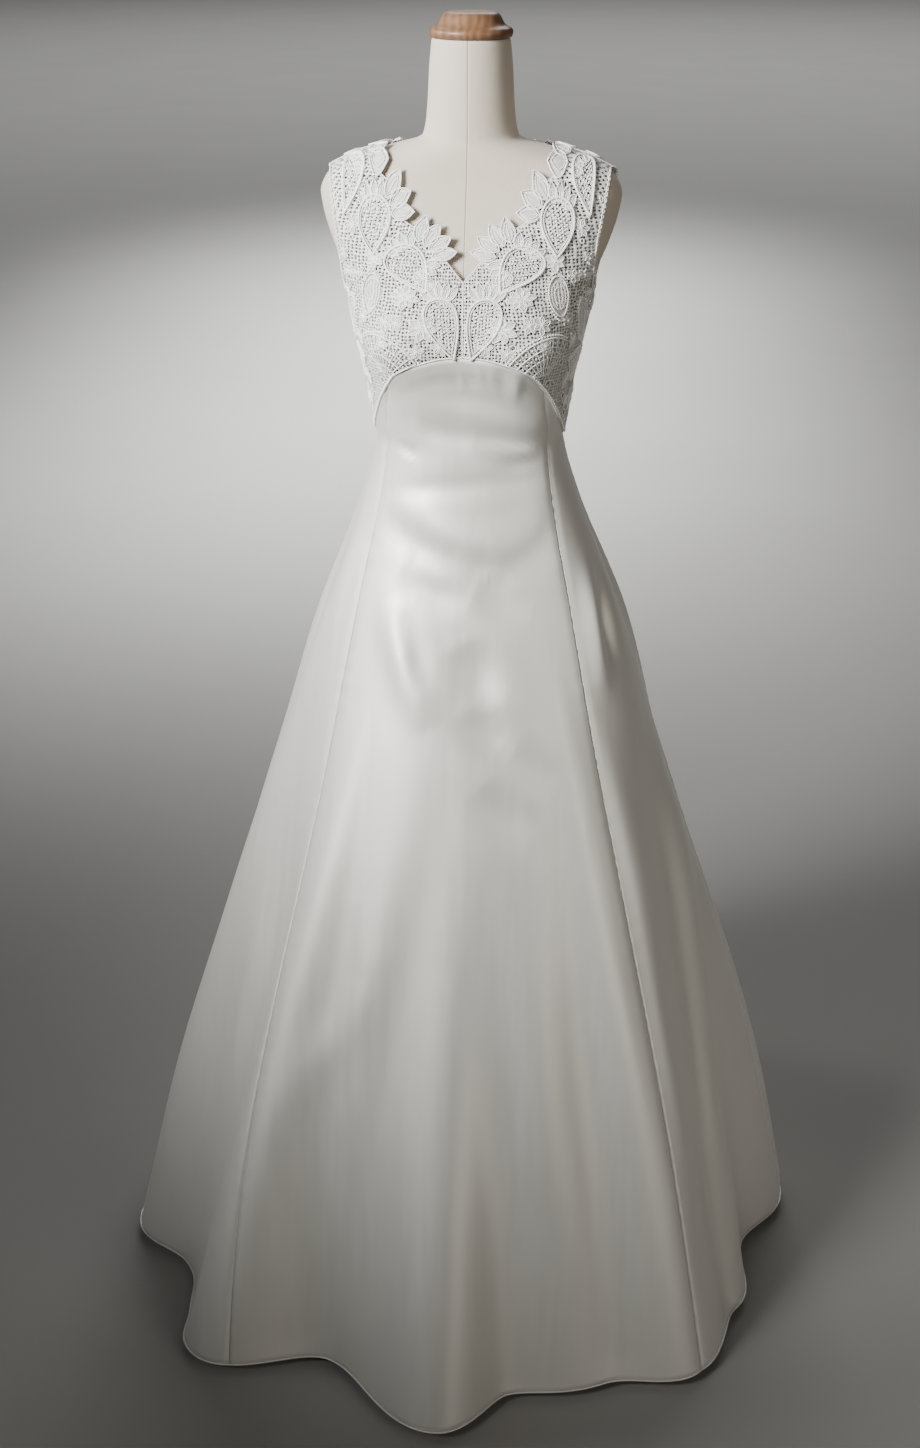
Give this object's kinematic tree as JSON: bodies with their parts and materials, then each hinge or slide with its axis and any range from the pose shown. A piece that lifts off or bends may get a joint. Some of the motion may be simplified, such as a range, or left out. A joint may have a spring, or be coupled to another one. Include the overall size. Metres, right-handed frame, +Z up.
{
  "type": "wedding dress on a limbless dress form",
  "caption": "Floor-length A-line wedding dress with a deep V-neck lace bodice and a fluted satin skirt, worn by a limbless dress form with a wooden neck cap on a disc-footed stand.",
  "frame": {"origin": "middle of the stand base's underside, on the floor", "axes": "+Z up along the pole, -Y the way the dress faces, +X the wearer's left"},
  "size_m": [0.9272, 0.9753, 1.65],
  "materials": {
    "satin": "ivory satin with a soft sheen",
    "lace": "white corded guipure lace",
    "lining": "plain ivory lining cloth",
    "form_cloth": "cream cotton cover",
    "wood": "turned, oiled brown wood",
    "stand": "satin black paint"
  },
  "bodies": {
    "root": {"lace_front_left": "lace", "lace_front_right": "lace", "lace_back_left": "lace", "lace_back_right": "lace", "lining_front_left": "lining", "lining_front_right": "lining", "lining_back_left": "lining", "lining_back_right": "lining", "skirt_front": "satin", "skirt_side_front_left": "satin", "skirt_side_front_right": "satin", "skirt_side_back_left": "satin", "skirt_side_back_right": "satin", "skirt_back_left": "satin", "skirt_back_right": "satin", "form_body": "form_cloth", "neck_cap": "wood", "stand_base": "stand", "stand_pole": "stand"}
  },
  "joints": []
}
